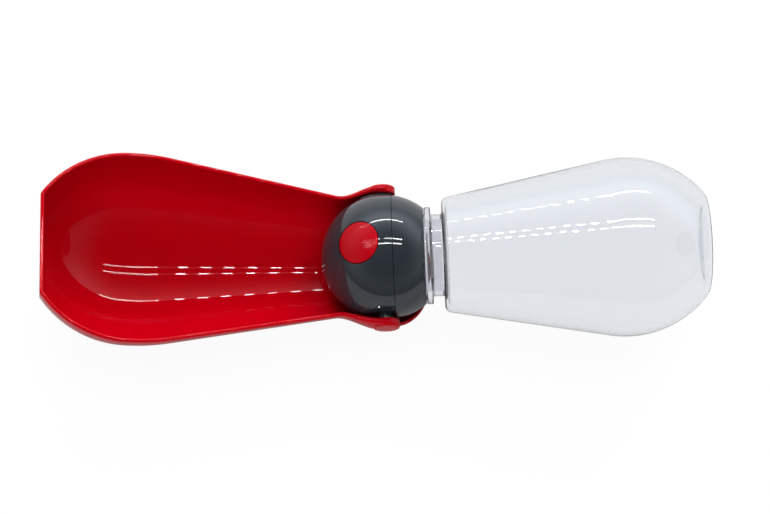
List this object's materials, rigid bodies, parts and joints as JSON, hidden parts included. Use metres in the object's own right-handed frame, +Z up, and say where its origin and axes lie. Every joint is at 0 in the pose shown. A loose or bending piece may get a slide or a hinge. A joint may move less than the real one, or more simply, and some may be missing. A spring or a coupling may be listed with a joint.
{
  "type": "dog travel water bottle",
  "caption": "Clear screw-on water bottle with a ball-shaped valve head, a thumb button and a hinged half-round drinking trough that folds over the bottle.",
  "frame": {"origin": "centre of the part's box, on the surface that it lies on, under the ball head", "axes": "+X towards the bottle's base, -X towards the trough's end, +Y along the trough's hinge, +Z up"},
  "size_m": [0.2985, 0.0862, 0.0881],
  "materials": {
    "clear_plastic": "clear glossy moulded copolyester",
    "red_plastic": "glossy moulded ABS",
    "grey_plastic": "glossy moulded ABS",
    "button_plastic": "satin moulded ABS",
    "white_acetal": "moulded acetal",
    "steel": "plain stainless steel",
    "black_nylon": "moulded nylon",
    "red_silicone": "moulded silicone",
    "black_rubber": "moulded rubber"
  },
  "bodies": {
    "head": {"head_front_shell": "grey_plastic", "head_rear_shell": "grey_plastic", "valve_body": "white_acetal", "spring_seat": "white_acetal", "button_o_ring": "black_rubber", "pivot_bush_near": "black_nylon", "pivot_bush_far": "black_nylon", "valve_spring": "steel", "button_spring": "steel"},
    "trough_arm": {"trough": "red_plastic", "pivot_pin_near": "steel", "pivot_pin_far": "steel"},
    "press_button": {"button": "button_plastic", "button_plunger": "white_acetal", "plunger_clip": "steel"},
    "valve_poppet": {"valve_stem": "steel", "valve_plug": "red_silicone", "plug_retainer": "steel"},
    "neck_seal": {"neck_gasket": "black_rubber"},
    "bottle_body": {"bottle": "clear_plastic"}
  },
  "joints": [
    {"name": "trough_hinge", "type": "hinge", "parent": "head", "child": "trough_arm", "pos_m": [0.00444, 0, 0.0321], "axis": [0, 1, 0], "range_deg": [0, 163]},
    {"name": "button_press", "type": "slide", "parent": "head", "child": "press_button", "axis": [0.5225, 0, -0.8526], "range_m": [0, 0.003], "stiffness_N_per_m": 250, "springref_m": -0.002, "deforming": ["button_spring"]},
    {"name": "valve_slide", "type": "slide", "parent": "head", "child": "valve_poppet", "axis": [0.989, 0, 0.1478], "range_m": [0, 0.003], "deforming": ["valve_spring"]},
    {"name": "neck_advance", "type": "slide", "parent": "head", "child": "neck_seal", "axis": [0.989, 0, 0.1478], "range_m": [0, 0.003]},
    {"name": "bottle_turn", "type": "hinge", "parent": "neck_seal", "child": "bottle_body", "pos_m": [0.00444, 0, 0.0321], "axis": [0.989, 0, 0.1478], "range_deg": [0, 360]}
  ],
  "couplings": [
    {"joint": "valve_slide", "follows": "button_press", "ratio": 1},
    {"joint": "neck_advance", "follows": "bottle_turn", "m_per_rad": 0.00047746}
  ]
}
